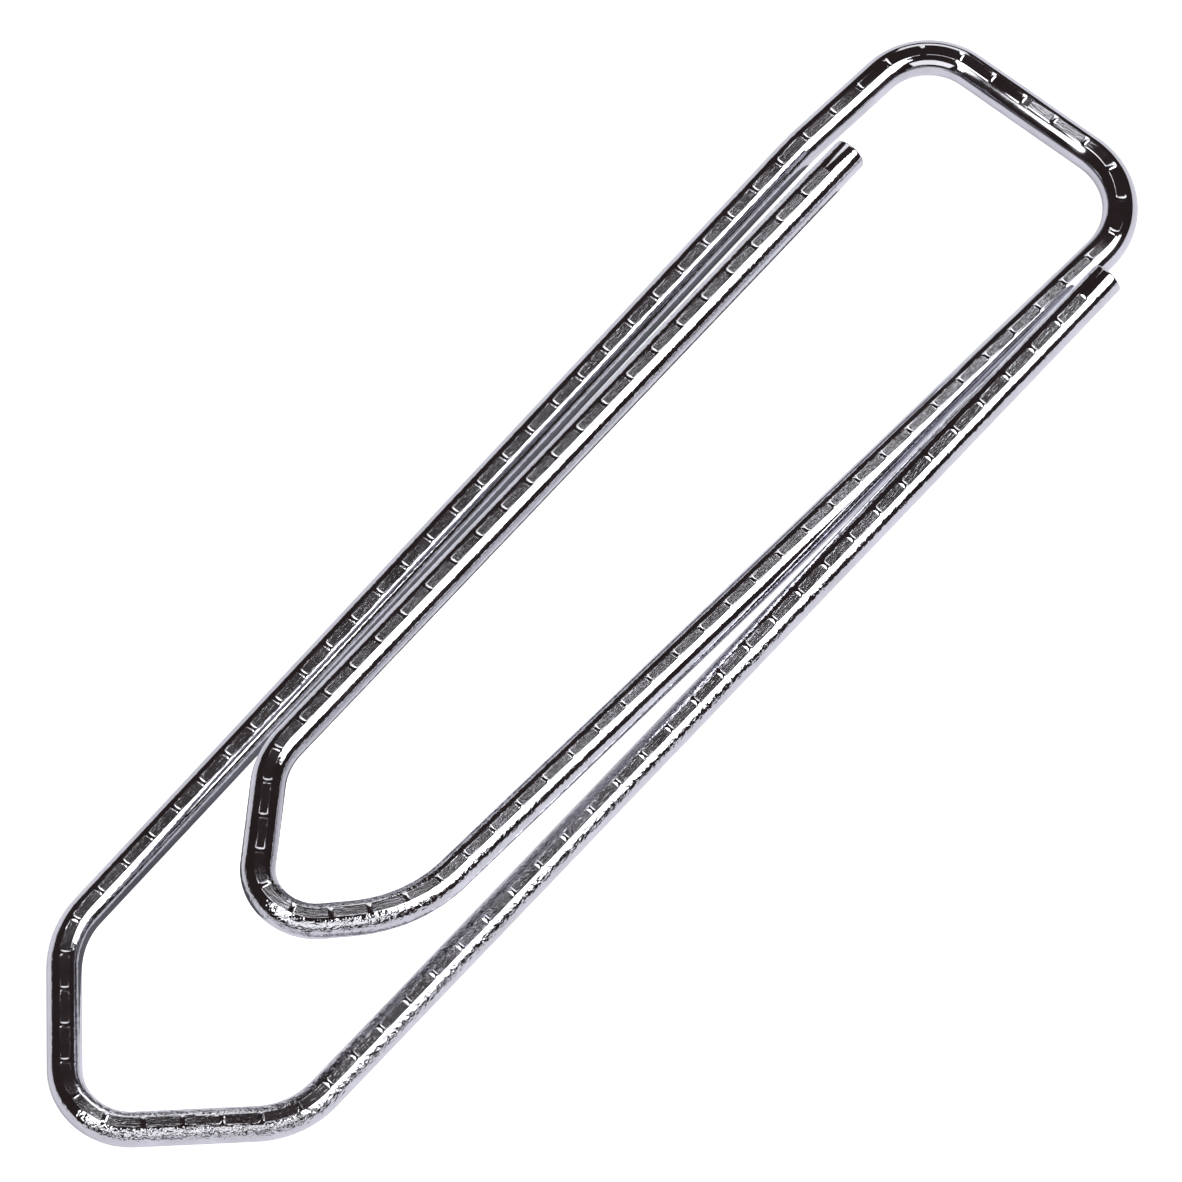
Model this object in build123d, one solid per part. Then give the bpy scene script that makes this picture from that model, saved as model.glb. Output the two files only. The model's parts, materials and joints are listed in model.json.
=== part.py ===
from build123d import *
import os

# A paper clip bent from one length of round, bright-plated steel wire. Millimetres and degrees.
# X runs from the nose to the bow, Y across to the long leg, and Z up from the table it lies on.
# A corner is the point where the centrelines of two straight runs would meet.

# The wire
wire_diameter = 1.2
end_chamfer = 0.08          # on the rim of each sheared end

# The outer loop
toe_reach = 49.9            # nose corner to the toe corner of the bow
heel_setback = 0.55         # heel corner of the bow behind its toe corner
heel_lean = 0.4             # heel corner inside the widest place of the long leg
lead_length = 5.95          # widest place of the long leg behind the heel corner
clip_width = 12.65          # over the wire, across the outer legs at the bow
outer_taper = 0.7           # shoulder of the outer free leg inside its end
long_taper = 0.48           # shoulder of the long leg inside its widest place
nose_length = 5.35          # nose corner to its shoulders
nose_offset = 0.52          # nose corner from the middle, towards the long leg
outer_end_setback = 4.0     # outer free end behind the toe corner

# The tongue, which lies inside the outer loop
tongue_setback = 8.45       # nose corner to the tongue's own nose corner
tongue_offset = 0.15        # tongue's nose corner from the middle, away from the long leg
leg_shoulder_length = 4.05  # tongue's nose corner to its shoulder on the inner leg
arm_shoulder_length = 5.2   # tongue's nose corner to its shoulder on the inner free leg
inner_end_setback = 6.1     # inner free end behind the toe corner

# Gaps between neighbouring legs when the clip is pressed flat
outer_end_gap = 0.05        # outer free end to the inner leg
leg_shoulder_gap = 0.19     # tongue's shoulder to the outer free leg
arm_gap = 0.7               # inner free leg to the long leg

# Bend radii, to the middle of the wire
outer_shoulder_radius = 3.2
nose_radius = 2.2
long_shoulder_radius = 3.3
lead_radius = 12
heel_radius = 2.3
toe_radius = 2.65
leg_shoulder_radius = 5.45
tongue_radius = 1.9
arm_shoulder_radius = 2.9

# Angles by which the springy parts stand up at rest, each twisted about a straight run
tongue_lift = 4.4           # about the cross run of the bow
outer_arm_lift = 4.2        # about the outer run of the nose
inner_arm_lift = 3.9        # about the second run of the tongue's nose
hinge_share = 0.5           # place of each twist along its run

# The grip track, a row of shallow cells rolled into the crown of the wire with a rib between each two
rib_pitch = 1.304
rib_thickness = 0.13
track_depth = 0.035         # floor of a cell below the crown
crown_flat = 0.01           # by which the rolls flatten the crown
crown_half_angle = 30       # half of the crown, round the wire
plain_end = 0.6             # least bare wire beyond the track at each free end

wire_radius = wire_diameter / 2
crown_radius = wire_radius - crown_flat  # from the middle of the wire to the top of its crown


def y_on_line(first, second, x):
    """Y at a given X on the straight line through two corners."""
    return first[1] + (second[1] - first[1]) * (x - first[0]) / (second[0] - first[0])


# Corners of the outer loop, measured along the clip from the nose corner
leg_half = clip_width / 2 - wire_radius
outer_end = (toe_reach - outer_end_setback, -leg_half)
outer_shoulder = (nose_length, outer_taper - leg_half)
nose = (0, nose_offset)
long_shoulder = (nose_length, leg_half - long_taper)
heel = (toe_reach - heel_setback, leg_half - heel_lean)
lead = (heel[0] - lead_length, leg_half)

# Corners of the tongue, whose legs keep beside the outer legs
leg_x = tongue_setback + leg_shoulder_length
leg_shoulder_y = y_on_line(outer_shoulder, outer_end, leg_x) + wire_diameter + leg_shoulder_gap
leg_shoulder = (leg_x, leg_shoulder_y)
beside_outer_end = (outer_end[0], outer_end[1] + wire_diameter + outer_end_gap)
toe = (toe_reach, y_on_line(leg_shoulder, beside_outer_end, toe_reach))
tongue_nose = (tongue_setback, -tongue_offset)
arm_x = tongue_setback + arm_shoulder_length
arm_shoulder = (arm_x, y_on_line(long_shoulder, lead, arm_x) - wire_diameter - arm_gap)
inner_x = toe_reach - inner_end_setback
inner_end = (inner_x, y_on_line(long_shoulder, lead, inner_x) - wire_diameter - arm_gap)

# The centreline from the outer free end to the inner one, lying flat over the middle of its box
flat_line = FilletPolyline(
    outer_end, outer_shoulder, nose, long_shoulder, lead, heel,
    toe, leg_shoulder, tongue_nose, arm_shoulder, inner_end,
    radius=[
        outer_shoulder_radius, nose_radius, long_shoulder_radius, lead_radius, heel_radius,
        toe_radius, leg_shoulder_radius, tongue_radius, arm_shoulder_radius,
    ],
)
middle = flat_line.bounding_box().center()
centreline = Wire(flat_line.edges()).moved(Location((-middle.X, -middle.Y, wire_radius)))
(
    outer_run, outer_bend, nose_run, nose_bend, nose_rise, long_bend, long_run,
    lead_bend, lead_run, heel_bend, bow_run, toe_bend, inner_run, leg_bend, tongue_run,
    tongue_bend, tongue_rise, arm_bend, arm_run,
) = centreline.order_edges()

# The named stretches of the wire, in order. Those that twist against each other meet at a square
# cut across a straight run, whose centreline is the axis of the twist.
stretches = {
    "outer_free_leg": [outer_run],
    "outer_shoulder": [outer_bend, nose_run.trim(0, hinge_share)],
    "nose": [nose_run.trim(hinge_share, 1), nose_bend, nose_rise, long_bend],
    "long_leg": [long_run],
    "bow_heel": [lead_bend, lead_run, heel_bend, bow_run.trim(0, hinge_share)],
    "bow_toe": [bow_run.trim(hinge_share, 1), toe_bend],
    "inner_leg": [inner_run],
    "tongue_nose": [leg_bend, tongue_run, tongue_bend, tongue_rise.trim(0, hinge_share)],
    "inner_shoulder": [tongue_rise.trim(hinge_share, 1), arm_bend],
    "inner_free_leg": [arm_run],
}


def ribbed_wire(path):
    """The wire along a flat path, its crown a little flattened by the rolls that rib it."""
    left = Vector(wire_radius, 0).rotate(Axis.Z, crown_half_angle)
    right = Vector(left.X, -left.Y)
    crown = ThreePointArc(right, (crown_radius, 0), left)
    body = ThreePointArc(left, (-wire_radius, 0), right)
    section = Plane(origin=path @ 0, x_dir=(0, 0, 1), z_dir=path % 0) * make_face([crown, body])
    return sweep(section, path=path)


def eased_free_end(leg):
    """A straight leg with the rim of its sheared end, the one nearer the bow, taken off."""
    end_face = leg.faces().filter_by(GeomType.PLANE).sort_by(Axis.X)[-1]
    return chamfer(end_face.edges(), end_chamfer)


def cell_cutter(start, end):
    """The block that presses one cell of the grip track, between two places along the wire."""
    outline = []
    for place, side in ((start, 1), (end, 1), (end, -1), (start, -1)):
        across = centreline.tangent_at(place, PositionMode.LENGTH).cross(Vector(0, 0, side))
        outline.append(centreline.position_at(place, PositionMode.LENGTH) + across * wire_radius)
    floor = Pos(0, 0, crown_radius - track_depth) * make_face(Polyline(*outline, close=True))
    return extrude(floor, amount=wire_radius, dir=(0, 0, 1))


# Cells of the grip track, as pairs of places along the wire, centred between the two free ends
rib_count = int((centreline.length - 2 * plain_end) / rib_pitch) + 1
first_rib = (centreline.length - (rib_count - 1) * rib_pitch) / 2
cells = []
for rib in range(rib_count - 1):
    rib_place = first_rib + rib * rib_pitch
    cells.append((rib_place + rib_thickness / 2, rib_place + rib_pitch - rib_thickness / 2))

# Each stretch lying flat, with the cells that fall on it
pieces = {}
start = 0
for name, edges in stretches.items():
    path = Wire(edges)
    piece = ribbed_wire(path)
    if name.endswith("free_leg"):
        piece = eased_free_end(piece)
    end = start + path.length
    piece -= [cell_cutter(*cell) for cell in cells if cell[0] < end and cell[1] > start]
    pieces[name] = piece
    start = end


def twist_axis(run):
    """The centreline of a run, pointing so that a positive turn raises the springy side."""
    return Axis(run @ hinge_share, (run % hinge_share) * -1)


# The springy parts standing up at rest. The inner arm goes up with the tongue as well.
outer_axis = twist_axis(nose_run)
tongue_axis = twist_axis(bow_run)
flat_arm_axis = twist_axis(tongue_rise)
for name in ("outer_free_leg", "outer_shoulder"):
    pieces[name] = pieces[name].rotate(outer_axis, outer_arm_lift)
for name in ("inner_shoulder", "inner_free_leg"):
    pieces[name] = pieces[name].rotate(flat_arm_axis, inner_arm_lift)
for name in ("bow_toe", "inner_leg", "tongue_nose", "inner_shoulder", "inner_free_leg"):
    pieces[name] = pieces[name].rotate(tongue_axis, tongue_lift)
arm_axis = twist_axis(tongue_rise.rotate(tongue_axis, tongue_lift))

os.makedirs("parts", exist_ok=True)
for name, piece in pieces.items():
    export_step(piece, f"parts/{name}.step")

# What the joints and the record need
for name, axis in (("outer_arm", outer_axis), ("tongue", tongue_axis), ("inner_arm", arm_axis)):
    print(name, "twist at", axis.position, "along", axis.direction)
box = Compound(children=list(pieces.values())).bounding_box()
print("wire length", round(centreline.length, 2), "ribs", rib_count)
print("box from", box.min, "to", box.max)
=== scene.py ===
import json
import math

import bmesh
import bpy
from mathutils import Matrix, Vector


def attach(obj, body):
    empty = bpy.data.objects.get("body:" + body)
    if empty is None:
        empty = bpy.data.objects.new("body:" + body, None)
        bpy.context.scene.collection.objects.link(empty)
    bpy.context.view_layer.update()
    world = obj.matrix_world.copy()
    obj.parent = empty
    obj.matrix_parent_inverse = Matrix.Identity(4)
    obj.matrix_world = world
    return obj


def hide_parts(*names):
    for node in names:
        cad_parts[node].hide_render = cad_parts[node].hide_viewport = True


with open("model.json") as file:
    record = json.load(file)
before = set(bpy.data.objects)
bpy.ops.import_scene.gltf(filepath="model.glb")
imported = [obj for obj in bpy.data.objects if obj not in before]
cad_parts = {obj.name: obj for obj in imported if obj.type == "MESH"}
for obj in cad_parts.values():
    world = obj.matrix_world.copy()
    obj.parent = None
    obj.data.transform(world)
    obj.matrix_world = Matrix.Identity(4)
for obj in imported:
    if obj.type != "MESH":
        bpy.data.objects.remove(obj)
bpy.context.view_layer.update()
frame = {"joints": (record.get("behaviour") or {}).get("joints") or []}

# A paper clip bent from one length of ribbed wire. The sections follow the wire from its outer free
# end to its inner one, in the order in which a bender feeds it. Every stretch is bent lying flat on
# the table and then springs up about its hinges. Places are in the frame, in metres.


# Outer free leg: the straight end of the outer loop, which lies free beside the bow. Hard-drawn
# steel wire, rolled along its crown with a row of shallow cells between low ribs, nickel plated,
# and sheared off square at the end.
mm = 0.001
up = Vector((0, 0, 1))
wire_radius = 0.6 * mm
wire_length = 183.63 * mm
end_rounding = 0.08 * mm         # on the rim of a sheared end
end_segments = 6
rib_pitch = 1.304 * mm
rib_half = 0.10 * mm             # from the top of a rib to the foot of its flank
rib_count = 140
first_rib = (wire_length - (rib_count - 1) * rib_pitch) / 2
rib_ring_shares = (-1, -0.75, -0.5, -0.25, 0, 0.25, 0.5, 0.75, 1)  # of rib_half, a ring at each
ring_sides = 64
crown_height = 1.8 * wire_radius  # over the table, from which the sides of a ring are cut finer
crown_cuts = 2
cell_sides = 3                   # sides of a ring on each half of a cell
cell_angle = math.tau * cell_sides / ring_sides
cell_half = wire_radius * math.sin(cell_angle)
cell_floor = wire_radius * math.cos(cell_angle)
cell_lip = 0.004 * mm            # metal pushed up along the edges of a cell
lip_half = 0.005 * mm            # reach of that metal to each side of the edge
floor_share = 0.99               # of the full depth, from which a place counts as floor
bend_step = math.radians(2.5)    # most between two rings of a bend
crisp_turn = math.radians(20)    # least turn of an edge that is shaded crisp
joints = {joint["name"]: joint for joint in frame["joints"]}


def light_of(code):
    """An sRGB hex colour as linear light with full alpha."""
    shares = [int(code[start:start + 2], 16) / 255 for start in (1, 3, 5)]
    light = [
        share / 12.92 if share <= 0.04045 else ((share + 0.055) / 1.055) ** 2.4 for share in shares
    ]
    return light + [1]


def add_node(tree, kind, settings, **inputs):
    """A node with its settings and its inputs, constant or linked. Input _0 is the first by number."""
    node = tree.nodes.new("ShaderNode" + kind)
    for name, value in settings.items():
        setattr(node, name, value)
    for name, value in inputs.items():
        socket = node.inputs[int(name[1:]) if name[1:].isdigit() else name.replace("_", " ")]
        if isinstance(value, bpy.types.NodeSocket):
            tree.links.new(value, socket)
        else:
            socket.default_value = value
    return node


# Bright nickel over drawn steel: a mirror that is broken up by lines along the wire, by the orange
# peel of the plating and by a duller, grainier floor in the rolled cells. All but the scuffs are
# several times coarser than on real wire, because they wouldn't show otherwise. The patterns lie on
# the wire as it was before it was bent, in millimetres, and so are their widths and lengths here.
line_width = 1 / 22              # 22 lines to the millimetre
line_length = 25 / 3
line_depth = 0.003 * mm
grain_width = 1 / 14
grain_length = 0.4               # drawn out by the rolls
grain_depth = 0.016 * mm
grain_dullness = 0.12            # roughness that the grain adds
peel_width = 1 / 7               # seven dimples to the millimetre
peel_depth = 0.062 * mm
peel_full_height = 0.54          # over the middle of the wire, up to which the peel is full
peel_faint_height = 0.578        # and from which, on the crown, it is faint
peel_faint_share = 0.15
scuff_width = 10 / 7
clean_colour, scuffed_colour = "#BDBDC2", "#CDCDD5"
clean_roughness, scuffed_roughness = 0.03, 0.09
plating = bpy.data.materials.new("bright_nickel_plate_on_drawn_steel")
plating.use_nodes = True
tree = plating.node_tree
tree.nodes.clear()
place = add_node(tree, "Attribute", {"attribute_name": "straight_wire"}).outputs["Vector"]
rolled = add_node(tree, "Attribute", {"attribute_name": "rolled"}).outputs["Fac"]
drawn = add_node(tree, "Attribute", {"attribute_name": "drawn"}).outputs["Vector"]
to_world = {"vector_type": "VECTOR", "convert_from": "OBJECT", "convert_to": "WORLD"}
tangent = add_node(tree, "VectorTransform", to_world, Vector=drawn).outputs["Vector"]
straight = add_node(tree, "SeparateXYZ", {}, Vector=place).outputs
line_scale = (1 / line_length, 1 / line_width, 1 / line_width)
along_lines = add_node(tree, "Mapping", {}, Vector=place, Scale=line_scale).outputs["Vector"]
lines = add_node(
    tree, "TexNoise", {}, Vector=along_lines, Scale=1, Detail=3, Roughness=0.6,
).outputs["Fac"]
grain_scale = (1 / grain_length, 1 / grain_width, 1 / grain_width)
along_grain = add_node(tree, "Mapping", {}, Vector=place, Scale=grain_scale).outputs["Vector"]
grain = add_node(
    tree, "TexNoise", {}, Vector=along_grain, Scale=1, Detail=3, Roughness=0.6,
).outputs["Fac"]
peel = add_node(
    tree, "TexNoise", {}, Vector=place, Scale=1 / peel_width, Detail=2, Roughness=0.5,
).outputs["Fac"]
scuffs = add_node(
    tree, "TexNoise", {}, Vector=place, Scale=1 / scuff_width, Detail=5, Roughness=0.7,
).outputs["Fac"]
tone = add_node(tree, "ValToRGB", {}, Fac=scuffs)
tone.color_ramp.elements[0].position = 0.35
tone.color_ramp.elements[0].color = light_of(clean_colour)
tone.color_ramp.elements[1].position = 0.65
tone.color_ramp.elements[1].color = light_of(scuffed_colour)
worn = add_node(
    tree, "MapRange", {}, Value=scuffs, From_Min=0.35, From_Max=0.7,
    To_Min=clean_roughness, To_Max=scuffed_roughness,
).outputs["Result"]
fed_share = add_node(
    tree, "MapRange", {}, Value=straight["X"], From_Max=wire_length / mm,
).outputs["Result"]


def along_wire(*stops):
    """A strength that changes along the wire. A stop is a share of its length and the strength there."""
    ramp = add_node(tree, "ValToRGB", {}, Fac=fed_share)
    ramp.color_ramp.elements.remove(ramp.color_ramp.elements[1])
    ramp.color_ramp.elements[0].color = [stops[0][1]] * 3 + [1]
    for stop, strength in stops:
        ramp.color_ramp.elements.new(stop).color = [strength] * 3 + [1]
    return ramp.outputs["Color"]


# The peel gathers towards the nose, which begins at 0.21 of the length, and towards the tongue's
# nose, which begins at 0.77. The grain is rubbed bright on the bends of the bow, at 0.53 and 0.58.
peel_share = along_wire(
    (0.01, 0.15), (0.05, 0.2), (0.13, 0.5), (0.21, 0.9), (0.25, 0.9), (0.265, 0.1), (0.5, 0.1),
    (0.52, 0), (0.6, 0), (0.72, 0.1), (0.77, 0.4), (0.80, 0.6), (0.815, 0.1), (1, 0.15),
)
unrubbed_share = along_wire(
    (0.513, 1), (0.522, 0.1), (0.551, 0.1), (0.556, 1),
    (0.565, 1), (0.57, 0.1), (0.59, 0.1), (0.597, 1),
)
grainy = add_node(
    tree, "Math", {"operation": "MULTIPLY"}, _0=rolled, _1=unrubbed_share,
).outputs["Value"]
roughness = add_node(
    tree, "Math", {"operation": "MULTIPLY_ADD"}, _0=grainy, _1=grain_dullness, _2=worn,
).outputs["Value"]
lined = add_node(
    tree, "Bump", {}, Height=lines, Strength=0.35, Distance=line_depth,
).outputs["Normal"]
flank = add_node(
    tree, "MapRange", {}, Value=straight["Z"], From_Min=peel_full_height,
    From_Max=peel_faint_height, To_Min=1, To_Max=peel_faint_share,
).outputs["Result"]
peeling = add_node(
    tree, "Math", {"operation": "MULTIPLY"}, _0=peel_share, _1=flank,
).outputs["Value"]
peeled = add_node(
    tree, "Bump", {}, Height=peel, Strength=peeling, Distance=peel_depth, Normal=lined,
).outputs["Normal"]
about_floor = add_node(
    tree, "Math", {"operation": "SUBTRACT"}, _0=grain, _1=0.5,
).outputs["Value"]
pressed_floor = add_node(
    tree, "Math", {"operation": "MULTIPLY"}, _0=grainy, _1=about_floor,
).outputs["Value"]
grained = add_node(
    tree, "Bump", {}, Height=pressed_floor, Strength=1, Distance=grain_depth, Normal=peeled,
).outputs["Normal"]
nickel = add_node(
    tree, "BsdfPrincipled", {}, Base_Color=tone.outputs["Color"], Metallic=1, Roughness=roughness,
    Normal=grained, Tangent=tangent, Anisotropic=0.9, Anisotropic_Rotation=0.25,
)
add_node(tree, "OutputMaterial", {}, Surface=nickel.outputs["BSDF"])


def ring_places(start, end, steps=1):
    """Lengths along the wire at which its mesh has a ring: on the ribs and at even steps to the end."""
    places = {end}
    for rib in range(rib_count):
        for share in rib_ring_shares:
            places.add(first_rib + rib * rib_pitch + share * rib_half)
    places.update(start + (end - start) * step / steps for step in range(1, steps))
    return sorted(place for place in places if start < place <= end)


class Wire:
    """The wire in the bender: where its tip is, which way it heads and how much has been fed."""

    def __init__(self, end, towards):
        self.place = end
        self.heading = (towards - end).normalized()
        self.fed = 0
        self.begin()

    def begin(self):
        """Starts a stretch with a ring at the tip."""
        self.mesh = bmesh.new()
        self.straight = self.mesh.verts.layers.float_vector.new("straight_wire")
        self.rolled = self.mesh.verts.layers.float.new("rolled")
        self.drawn = self.mesh.verts.layers.float_vector.new("drawn")
        stand = Matrix((up.cross(self.heading), up, self.heading)).transposed().to_4x4()
        stand.translation = self.place
        bmesh.ops.create_circle(self.mesh, radius=wire_radius, segments=ring_sides, matrix=stand)
        crown = [
            edge for edge in self.mesh.edges
            if sum(vert.co.z for vert in edge.verts) / 2 > crown_height
        ]
        bmesh.ops.subdivide_edges(self.mesh, edges=crown, cuts=crown_cuts)
        self.ring = self.mesh.edges[:]
        self.first_ring = self.mesh.edges[:]
        self.roll(self.mesh.verts)

    def lengthen(self):
        """Draws a new ring out of the tip, still at the same place."""
        made = bmesh.ops.extrude_edge_only(self.mesh, edges=self.ring)["geom"]
        tip = [item for item in made if isinstance(item, bmesh.types.BMVert)]
        self.ring = [item for item in made if isinstance(item, bmesh.types.BMEdge)]
        return tip

    def roll(self, tip):
        """Presses the crown of the newest ring to the height of the grip track there."""
        away = abs((self.fed - first_rib + rib_pitch / 2) % rib_pitch - rib_pitch / 2) / rib_half
        pressed = 1 - math.cos(min(away, 1) * math.pi / 2)
        if not first_rib < self.fed < wire_length - first_rib:
            pressed = 0
        height = wire_radius + (cell_floor - wire_radius) * pressed
        across = up.cross(self.heading)
        for vert in tip:
            offset = (vert.co - self.place).dot(across)
            crown = math.sqrt(max(0, wire_radius ** 2 - offset ** 2))
            upper = vert.co.z > self.place.z + wire_radius / 2
            if upper:
                lip = cell_lip * pressed if abs(abs(offset) - cell_half) < lip_half else 0
                vert.co.z = self.place.z + min(crown, height) + lip
            side = crown if upper else vert.co.z - self.place.z
            vert[self.straight] = Vector((self.fed, offset, side)) / mm
            vert[self.rolled] = upper and pressed > floor_share and height < crown
            vert[self.drawn] = self.heading

    def feed(self, length):
        """Feeds the wire straight on."""
        for fed in ring_places(self.fed, self.fed + length):
            tip = self.lengthen()
            step = self.heading * (fed - self.fed)
            bmesh.ops.translate(self.mesh, vec=step, verts=tip)
            self.place = self.place + step
            self.fed = fed
            self.roll(tip)

    def cut(self, name, body, springs, sheared=()):
        """Ends the stretch, springs it up about the named joints and begins the next stretch."""
        for loop in (self.first_ring, self.ring):
            bmesh.ops.edgeloop_fill(self.mesh, edges=loop)
        if sheared:
            bmesh.ops.bevel(
                self.mesh, geom=sheared, offset=end_rounding, offset_type="OFFSET",
                affect="EDGES", segments=end_segments, profile=0.5, material=-1,
            )
        bmesh.ops.recalc_face_normals(self.mesh, faces=self.mesh.faces)
        for spring in springs:
            joint = joints[spring]
            # The lower limit is the clip pressed flat, so at rest the stretch stands as far above it.
            lift = math.radians(-joint["range_deg"][0])
            turn = Matrix.Rotation(lift, 3, Vector(joint["axis"]))
            bmesh.ops.rotate(self.mesh, cent=joint["pos_m"], matrix=turn, verts=self.mesh.verts)
            for vert in self.mesh.verts:
                vert[self.drawn] = turn @ vert[self.drawn]
        mesh = bpy.data.meshes.new(name + "_wire")
        self.mesh.to_mesh(mesh)
        self.mesh.free()
        mesh.shade_smooth()
        mesh.set_sharp_from_angle(angle=crisp_turn)
        mesh.materials.append(plating)
        piece = bpy.data.objects.new(name + "_wire", mesh)
        bpy.context.scene.collection.objects.link(piece)
        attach(piece, body)
        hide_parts(name)
        self.begin()

    def run_left(self, corner, following, radius):
        """Straight length from the tip to the start of the bend at a corner."""
        turn = self.heading.angle(following - corner)
        return (corner - self.place).length - radius * math.tan(turn / 2)

    def bend(self, corner, following, radius):
        """Bends the wire clockwise, seen from above, until it heads from one corner to the next."""
        onward = (following - corner).normalized()
        turn = self.heading.angle(onward)
        former = self.place - up.cross(self.heading) * radius
        steps = math.ceil(turn / bend_step)
        for fed in ring_places(self.fed, self.fed + turn * radius, steps):
            tip = self.lengthen()
            swing = Matrix.Rotation((self.fed - fed) / radius, 3, up)
            bmesh.ops.rotate(self.mesh, cent=former, matrix=swing, verts=tip)
            self.place = former + swing @ (self.place - former)
            self.heading = swing @ self.heading
            self.fed = fed
            self.roll(tip)
        self.heading = onward


def flat_corner(x, y):
    """A corner or end of the wire's middle line as it lies flat, from its place in millimetres."""
    return Vector((x, y, wire_radius / mm)) * mm


outer_end = flat_corner(20.538, -5.722)
outer_shoulder = flat_corner(-20.012, -5.022)
nose = flat_corner(-25.362, 0.523)
outer_shoulder_radius = 3.2 * mm
wire = Wire(outer_end, outer_shoulder)
wire.feed(wire.run_left(outer_shoulder, nose, outer_shoulder_radius))
wire.cut("outer_free_leg", "outer_arm", ["outer_arm_flex"], sheared=wire.first_ring)


# Outer shoulder: the first bend of the wire, into the nose, and half of the nose's outer run. The
# wire twists in that run when the free leg springs up, so the stretch ends in the middle of it.
long_shoulder = flat_corner(-20.012, 5.248)
nose_radius = 2.2 * mm
wire.bend(outer_shoulder, nose, outer_shoulder_radius)
wire.feed(wire.run_left(nose, long_shoulder, nose_radius) / 2)
wire.cut("outer_shoulder", "outer_arm", ["outer_arm_flex"])


# Nose: the pointed end of the outer loop. The same plated wire, bent sharply round a small pin and
# then more gently at the shoulder of the long leg.
lead = flat_corner(18.038, 5.728)
long_shoulder_radius = 3.3 * mm
wire.feed(wire.run_left(nose, long_shoulder, nose_radius))
wire.bend(nose, long_shoulder, nose_radius)
wire.feed(wire.run_left(long_shoulder, lead, long_shoulder_radius))
wire.bend(long_shoulder, lead, long_shoulder_radius)
wire.cut("nose", "outer_frame", [])


# Long leg: the straight leg from the nose to the bow, on which the clip lies. The wire is fed
# straight on, so it keeps the lines of the drawing die from end to end.
heel = flat_corner(23.988, 5.328)
lead_radius = 12 * mm
wire.feed(wire.run_left(lead, heel, lead_radius))
wire.cut("long_leg", "outer_frame", [])


# Bow heel: the leg leans in a little, then turns through the first bend of the bow. The stretch
# ends in the middle of the cross run, where the wire twists as the tongue springs up.
toe = flat_corner(24.538, -4.558)
leg_shoulder = flat_corner(-12.862, -3.756)
heel_radius = 2.3 * mm
toe_radius = 2.65 * mm
wire.bend(lead, heel, lead_radius)
wire.feed(wire.run_left(heel, toe, heel_radius))
wire.bend(heel, toe, heel_radius)
wire.feed(wire.run_left(toe, leg_shoulder, toe_radius) / 2)
wire.cut("bow_heel", "outer_frame", [])


# Bow toe: the rest of the cross run and the second bend of the bow, which starts the tongue. It is
# the same wire, and goes up with the tongue from the twist in the cross run on.
wire.feed(wire.run_left(toe, leg_shoulder, toe_radius))
wire.bend(toe, leg_shoulder, toe_radius)
wire.cut("bow_toe", "tongue", ["tongue_open"])


# Inner leg: the straight leg of the tongue, which rises from the bow close beside the outer free
# leg. The wire is fed straight on.
tongue_nose = flat_corner(-16.912, -0.147)
leg_shoulder_radius = 5.45 * mm
wire.feed(wire.run_left(leg_shoulder, tongue_nose, leg_shoulder_radius))
wire.cut("inner_leg", "tongue", ["tongue_open"])


# Tongue nose: the tongue's own pointed end, bent tighter than the clip's nose. The stretch ends in
# the middle of its second run, where the wire twists as the inner free leg springs up.
arm_shoulder = flat_corner(-11.712, 3.452)
inner_end = flat_corner(18.438, 3.833)
tongue_radius = 1.9 * mm
arm_shoulder_radius = 2.9 * mm
wire.bend(leg_shoulder, tongue_nose, leg_shoulder_radius)
wire.feed(wire.run_left(tongue_nose, arm_shoulder, tongue_radius))
wire.bend(tongue_nose, arm_shoulder, tongue_radius)
wire.feed(wire.run_left(arm_shoulder, inner_end, arm_shoulder_radius) / 2)
wire.cut("tongue_nose", "tongue", ["tongue_open"])


# Inner shoulder: the rest of that run and the last bend of the wire, into the inner free leg. It
# goes up with the tongue and a little further by its own twist.
wire.feed(wire.run_left(arm_shoulder, inner_end, arm_shoulder_radius))
wire.bend(arm_shoulder, inner_end, arm_shoulder_radius)
wire.cut("inner_shoulder", "inner_arm", ["tongue_open", "inner_arm_flex"])


# Inner free leg: the other straight end of the wire, which lies free inside the long leg. It is
# sheared off square too, and its rim is just as little rounded.
wire.feed((inner_end - wire.place).length)
wire.cut("inner_free_leg", "inner_arm", ["tongue_open", "inner_arm_flex"], sheared=wire.ring)
wire.mesh.free()


# Table: the pale painted top that the clip lies on and mirrors, and over it the plain white that the
# camera sees in its place. Painted shadow: a dark grey sheet under the gap between the long leg and
# the inner free leg, which the camera doesn't see either, for the wire to mirror as a narrower gap's
# shade.
def flat_sheet(name, corners, colour, glow):
    """A plain painted sheet that lies flat between its corners."""
    paint = bpy.data.materials.new(name + "_paint")
    paint.use_nodes = True
    paint.node_tree.nodes.clear()
    matt = add_node(
        paint.node_tree, "BsdfPrincipled", {}, Base_Color=light_of(colour), Roughness=0.6,
        Emission_Color=light_of("#FFFFFF"), Emission_Strength=glow,
    )
    add_node(paint.node_tree, "OutputMaterial", {}, Surface=matt.outputs["BSDF"])
    outline = bmesh.new()
    outline.faces.new([outline.verts.new(corner) for corner in corners])
    bmesh.ops.recalc_face_normals(outline, faces=outline.faces)
    mesh = bpy.data.meshes.new(name)
    outline.to_mesh(mesh)
    outline.free()
    mesh.materials.append(paint)
    sheet = bpy.data.objects.new(name, mesh)
    bpy.context.scene.collection.objects.link(sheet)
    return sheet


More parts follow.
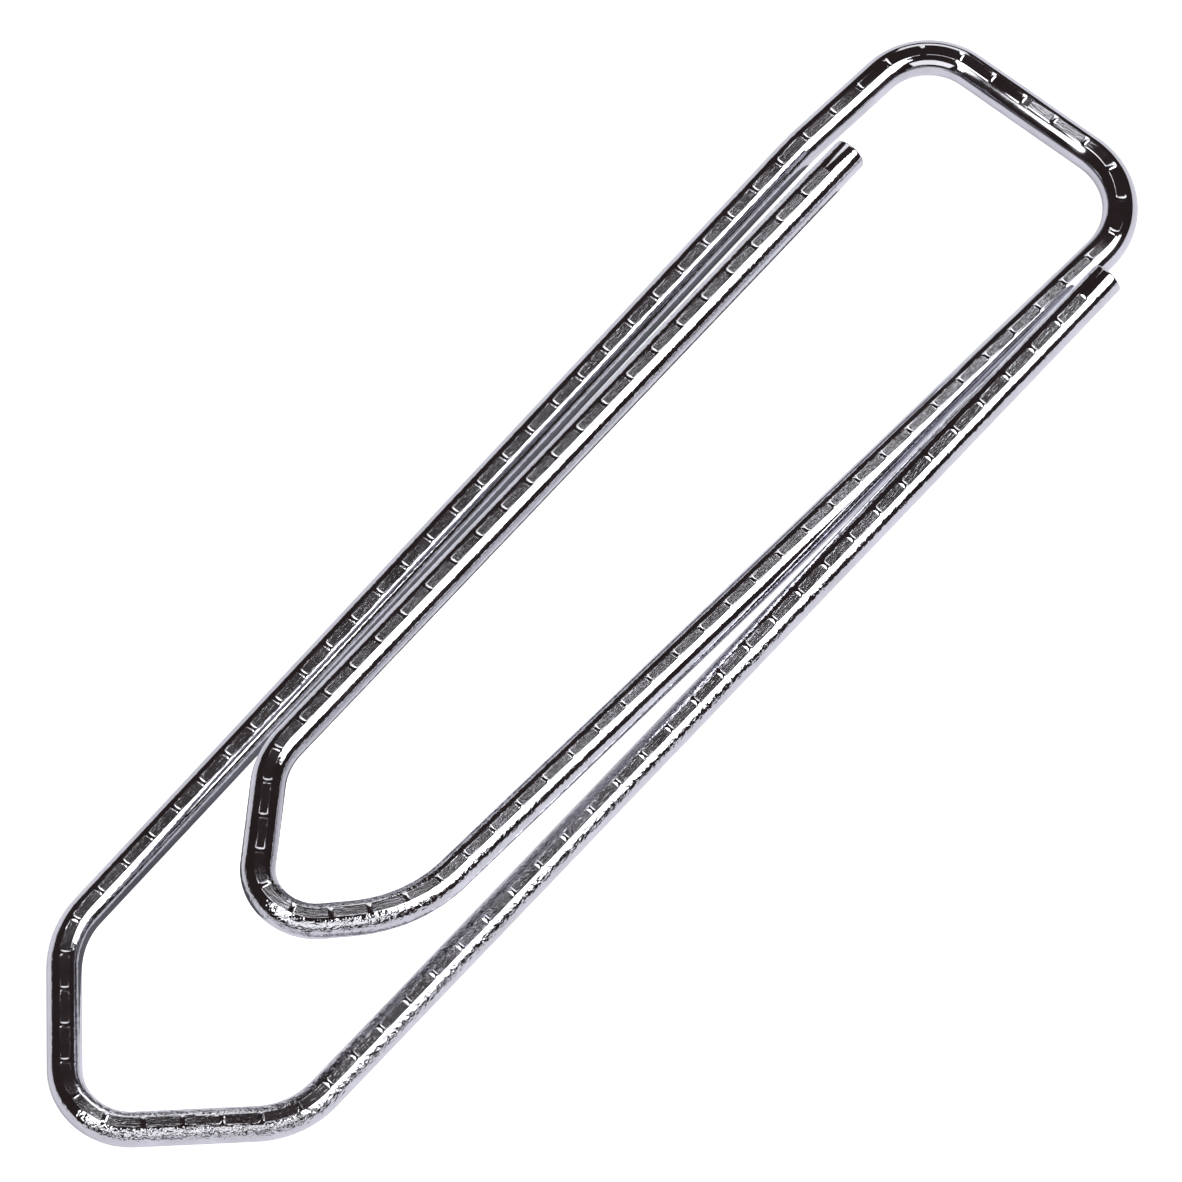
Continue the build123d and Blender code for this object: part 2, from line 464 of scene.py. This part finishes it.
reach = 1500 * mm
mirrored_drop = up * 0.02 * mm   # below the white top
# Drop and width of the painted shadow sheet under the gap between the legs.
gap_shadow_drop = up * 0.01 * mm
gap_shadow_width = Vector((0, 4.2, 0)) * mm
white_corners = [
    Vector((x * reach, y * reach, 0)) for x, y in ((-1, -1), (1, -1), (1, 1), (-1, 1))
]
mirrored_corners = [corner - mirrored_drop for corner in white_corners]
# Corners of the painted shadow sheet, from the long leg towards the inner free leg.
gap_shadow_corners = [
    corner - up * wire_radius - gap_shadow_drop
    for corner in (long_shoulder, lead, lead - gap_shadow_width, long_shoulder - gap_shadow_width)
]
mirrored = flat_sheet("mirrored_table", mirrored_corners, "#F8F8FF", 0.08)
mirrored.visible_camera = False
# Painted shadow: a dark grey sheet that stands in for the shade in the gap between the legs.
gap_shadow_sheet = flat_sheet("painted_gap_shadow", gap_shadow_corners, "#64646C", 0)
gap_shadow_sheet.visible_camera = False
seen = flat_sheet("white_table", white_corners, "#F4F4F4", 0.8)
seen.visible_glossy = False
seen.visible_diffuse = False
seen.visible_shadow = False


# Studio: a dark room with five soft boxes round the clip. The leg box draws the white band along the
# legs, the front box lights the lower sides of the two noses, the nose box the toe half of the bow's
# cross run, the bow box the ribs of the nose, and the rib box the flanks of the other ribs.
room = bpy.data.worlds.new("dark_studio")
room.use_nodes = True
room.node_tree.nodes["Background"].inputs["Color"].default_value = light_of("#332A2A")
bpy.context.scene.world = room
box_distance = 400 * mm
nose_box_shift = -74 * mm        # brings its edge to the middle of the cross run, as the wire mirrors it


def soft_box(name, way, width, height, brightness, aside=0):
    """A soft box of an even brightness that faces the clip, the given way from it and moved aside."""
    lamp = bpy.data.lights.new(name, "AREA")
    lamp.shape = "RECTANGLE"
    lamp.size = width
    lamp.size_y = height
    lamp.energy = brightness * math.pi * width * height
    stand = bpy.data.objects.new(name, lamp)
    turn = Vector(way).to_track_quat("Z", "Y")
    stand.location = turn @ Vector((aside, 0, box_distance))
    stand.rotation_euler = turn.to_euler()
    stand.visible_camera = False
    bpy.context.scene.collection.objects.link(stand)


soft_box("leg_box", (0.325, -0.55, 0.77), 290 * mm, 260 * mm, 5.5)
soft_box("front_box", (-0.62, -0.52, 0.58), 420 * mm, 220 * mm, 1.5)
soft_box("nose_box", (-0.523, -0.0291, 0.852), 60 * mm, 400 * mm, 6, aside=nose_box_shift)
soft_box("bow_box", (0.68, 0.50, 0.50), 200 * mm, 260 * mm, 1.3)
soft_box("rib_box", (0.78, 0.22, 0.58), 140 * mm, 140 * mm, 2)


# Camera: high over the nose end and a little rolled, with a long lens about a metre away, so that
# the legs hardly draw together.
camera_aim = Vector((0.878, 0.1525, 1.15)) * mm
camera_distance = 1065.5 * mm
camera_turn = math.radians(50.61)
camera_height = math.radians(65.12)
camera_roll = math.radians(1.55)
lens = bpy.data.cameras.new("camera")
lens.sensor_width = 36
lens.lens = 971.9
camera = bpy.data.objects.new("camera", lens)
turned = Matrix.Rotation(-camera_turn, 4, "Z")
turned = turned @ Matrix.Rotation(math.pi / 2 - camera_height, 4, "X")
turned = turned @ Matrix.Rotation(camera_roll, 4, "Z")
back = Matrix.Translation(up * camera_distance)
camera.matrix_world = Matrix.Translation(camera_aim) @ turned @ back
bpy.context.scene.collection.objects.link(camera)
bpy.context.scene.camera = camera
bpy.context.scene.view_settings.view_transform = "Standard"
